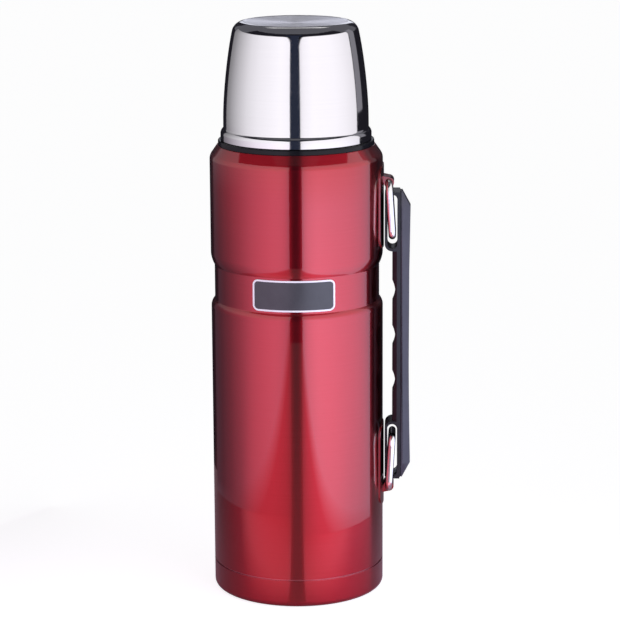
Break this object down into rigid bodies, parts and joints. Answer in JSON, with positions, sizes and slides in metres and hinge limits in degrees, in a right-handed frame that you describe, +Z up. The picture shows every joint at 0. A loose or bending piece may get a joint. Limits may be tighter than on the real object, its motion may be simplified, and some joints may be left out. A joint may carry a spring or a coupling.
{
  "type": "insulated water bottle",
  "caption": "Tall double-walled steel vacuum bottle with a screw-on cup, a twist stopper and a carrying handle that folds flat against the side on wire links.",
  "frame": {"origin": "on the bottle's axis, in the plane of the base that it stands on", "axes": "+Z up along the bottle's axis, +X towards the handle, -Y towards the badge"},
  "size_m": [0.1091, 0.094, 0.315],
  "materials": {
    "red_lacquer": "clear red lacquer over brushed steel",
    "polished_steel": "mirror polished stainless steel",
    "satin_steel": "satin stainless steel",
    "link_chrome": "bright chrome",
    "black_plastic": "satin moulded",
    "collar_plastic": "satin moulded",
    "badge": "dark enamel with a pale border",
    "seal_rubber": "soft silicone",
    "foam": "rigid foam",
    "foil": "bright foil",
    "solder": "solder bead",
    "getter_metal": "pressed pill"
  },
  "bodies": {
    "bottle": {"outer_shell": "red_lacquer", "base_cap": "red_lacquer", "bottom_plate": "satin_steel", "vacuum_seal": "solder", "getter": "getter_metal", "inner_flask": "satin_steel", "heat_foil": "foil", "neck_collar": "collar_plastic", "upper_bracket": "red_lacquer", "lower_bracket": "red_lacquer", "badge_plate": "badge"},
    "upper_link": {"upper_link": "link_chrome"},
    "handle": {"handle_grip": "black_plastic", "handle_cover": "black_plastic"},
    "lower_link": {"lower_link": "link_chrome"},
    "stopper_seal": {"stopper_gasket": "seal_rubber"},
    "stopper": {"stopper_body": "collar_plastic", "stopper_foam": "foam", "stopper_knob": "collar_plastic"},
    "cup": {"cup_shell": "polished_steel", "cup_liner": "satin_steel", "cup_thread_ring": "collar_plastic"}
  },
  "joints": [
    {"name": "upper_link_swing", "type": "hinge", "parent": "bottle", "child": "upper_link", "pos_m": [0.0503, 0, 0.228], "axis": [0, -1, 0], "range_deg": [0, 44]},
    {"name": "handle_level", "type": "hinge", "parent": "upper_link", "child": "handle", "pos_m": [0.0522, 0, 0.19906], "axis": [0, -1, 0], "range_deg": [-44, 0]},
    {"name": "lower_link_swing", "type": "hinge", "parent": "bottle", "child": "lower_link", "pos_m": [0.0503, 0, 0.0572], "axis": [0, 1, 0], "range_deg": [0, 44]},
    {"name": "stopper_lift", "type": "slide", "parent": "bottle", "child": "stopper_seal", "axis": [0, 0, 1], "range_m": [0, 0.06]},
    {"name": "stopper_turn", "type": "hinge", "parent": "stopper_seal", "child": "stopper", "pos_m": [0, 0, 0.25], "axis": [0, 0, 1], "range_deg": [0, 180]},
    {"name": "cup_lift", "type": "slide", "parent": "stopper_seal", "child": "cup", "axis": [0, 0, 1], "range_m": [0, 0.06]}
  ],
  "couplings": [
    {"joint": "handle_level", "follows": "upper_link_swing", "ratio": -1},
    {"joint": "lower_link_swing", "follows": "upper_link_swing", "ratio": 1}
  ]
}
